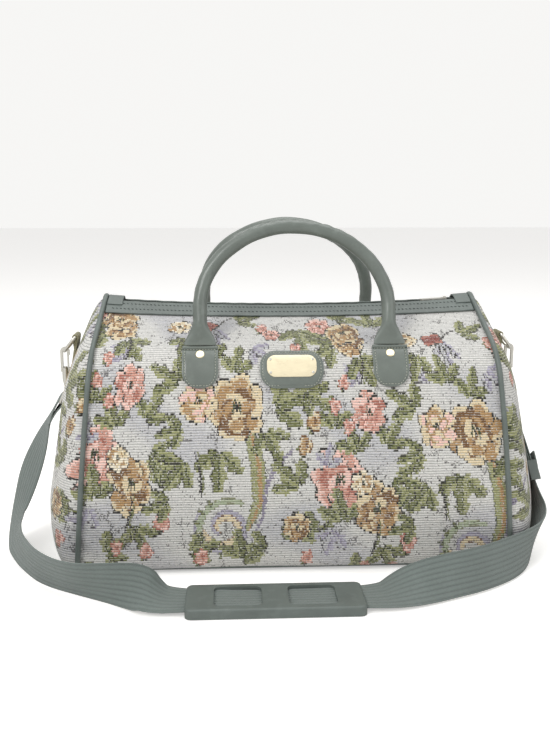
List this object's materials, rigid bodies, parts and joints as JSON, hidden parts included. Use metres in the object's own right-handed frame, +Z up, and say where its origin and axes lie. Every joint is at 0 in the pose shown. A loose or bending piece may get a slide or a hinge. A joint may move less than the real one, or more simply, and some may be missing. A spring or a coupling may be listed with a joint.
{
  "type": "carpet bag",
  "caption": "Carpet bag of ribbed floral tapestry with grey-green piping and base, a zip top, rolled swinging handles, a plain plate and a webbing shoulder strap with a pad.",
  "frame": {"origin": "on the floor under the middle of the bag", "axes": "+X along the bag to the viewer's right, +Y to the back, +Z up; the front with the plate faces -Y"},
  "size_m": [0.5418, 0.3119, 0.3291],
  "materials": {
    "tapestry": "ribbed jacquard with roses on a pale ground",
    "grey_green_vinyl": "fine-grained coated cloth",
    "grey_green_leather": "smooth, softly shining",
    "board": "plain stiffener",
    "zip_tape": "woven tape",
    "cord_core": "cotton rope",
    "nickel": "pale nickel plating",
    "pale_gold": "pale gold plating",
    "webbing": "ribbed webbing"
  },
  "bodies": {
    "bag": {"back_panel": "tapestry", "badge_patch": "grey_green_leather", "badge_pins": "pale_gold", "badge_plate": "pale_gold", "base_board": "board", "base_panel": "grey_green_vinyl", "end_panel_left": "tapestry", "end_panel_right": "tapestry", "front_panel": "tapestry", "handle_rivets_back": "pale_gold", "handle_rivets_front": "pale_gold", "handle_tab_back_left": "grey_green_leather", "handle_tab_back_right": "grey_green_leather", "handle_tab_front_left": "grey_green_leather", "handle_tab_front_right": "grey_green_leather", "piping_left": "grey_green_vinyl", "piping_right": "grey_green_vinyl", "ring_tab_left": "tapestry", "ring_tab_right": "tapestry", "strap": "webbing", "strap_slide": "nickel", "zip_end_patch_left": "grey_green_vinyl", "zip_end_patch_right": "grey_green_vinyl", "zip_facing_back": "grey_green_vinyl", "zip_facing_front": "grey_green_vinyl", "zip_tape_back": "zip_tape", "zip_tape_front": "zip_tape", "zip_teeth_back": "nickel", "zip_teeth_front": "nickel"},
    "handle_front": {"handle_front": "grey_green_leather", "handle_core_front": "cord_core"},
    "handle_back": {"handle_back": "grey_green_leather", "handle_core_back": "cord_core"},
    "zip_slider": {"zip_slider": "nickel"},
    "zip_pull": {"zip_pull": "nickel"},
    "strap_end_left": {"d_ring_left": "nickel", "snap_hook_left": "nickel", "strap_loop_left": "nickel"},
    "strap_end_right": {"d_ring_right": "nickel", "snap_hook_right": "nickel", "strap_loop_right": "nickel"},
    "gate_left": {"hook_gate_left": "nickel"},
    "gate_right": {"hook_gate_right": "nickel"},
    "shoulder_pad": {"shoulder_pad": "grey_green_leather"}
  },
  "joints": [
    {"name": "handle_front_swing", "type": "hinge", "parent": "bag", "child": "handle_front", "pos_m": [0, -0.08256, 0.21343], "axis": [1, 0, 0], "range_deg": [-14, 100]},
    {"name": "handle_back_swing", "type": "hinge", "parent": "bag", "child": "handle_back", "pos_m": [0, 0.08256, 0.21343], "axis": [-1, 0, 0], "range_deg": [-14, 100]},
    {"name": "zip_run", "type": "hinge", "parent": "bag", "child": "zip_slider", "pos_m": [0, 0, 2.87055], "axis": [0, 1, 0], "range_deg": [0, 6.4]},
    {"name": "zip_pull_lift", "type": "hinge", "parent": "zip_slider", "child": "zip_pull", "pos_m": [0.15808, 0, 0.24885], "axis": [0, 1, 0], "range_deg": [0, 120]},
    {"name": "strap_end_left_swing", "type": "hinge", "parent": "bag", "child": "strap_end_left", "pos_m": [-0.21467, 0, 0.21256], "axis": [0, 1, 0], "range_deg": [0, 14], "deforming": ["strap"]},
    {"name": "strap_end_right_swing", "type": "hinge", "parent": "bag", "child": "strap_end_right", "pos_m": [0.21467, 0, 0.21256], "axis": [0, -1, 0], "range_deg": [0, 14], "deforming": ["strap"]},
    {"name": "gate_left_spring", "type": "hinge", "parent": "strap_end_left", "child": "gate_left", "pos_m": [-0.22404, 0, 0.17905], "axis": [0, -1, 0], "range_deg": [0, 10], "stiffness_Nm_per_rad": 0.02, "springref_deg": -9.74},
    {"name": "gate_right_spring", "type": "hinge", "parent": "strap_end_right", "child": "gate_right", "pos_m": [0.22404, 0, 0.17905], "axis": [0, 1, 0], "range_deg": [0, 10], "stiffness_Nm_per_rad": 0.02, "springref_deg": -9.74},
    {"name": "pad_slide", "type": "slide", "parent": "bag", "child": "shoulder_pad", "axis": [1, 0, 0], "range_m": [-0.004, 0.004]}
  ]
}
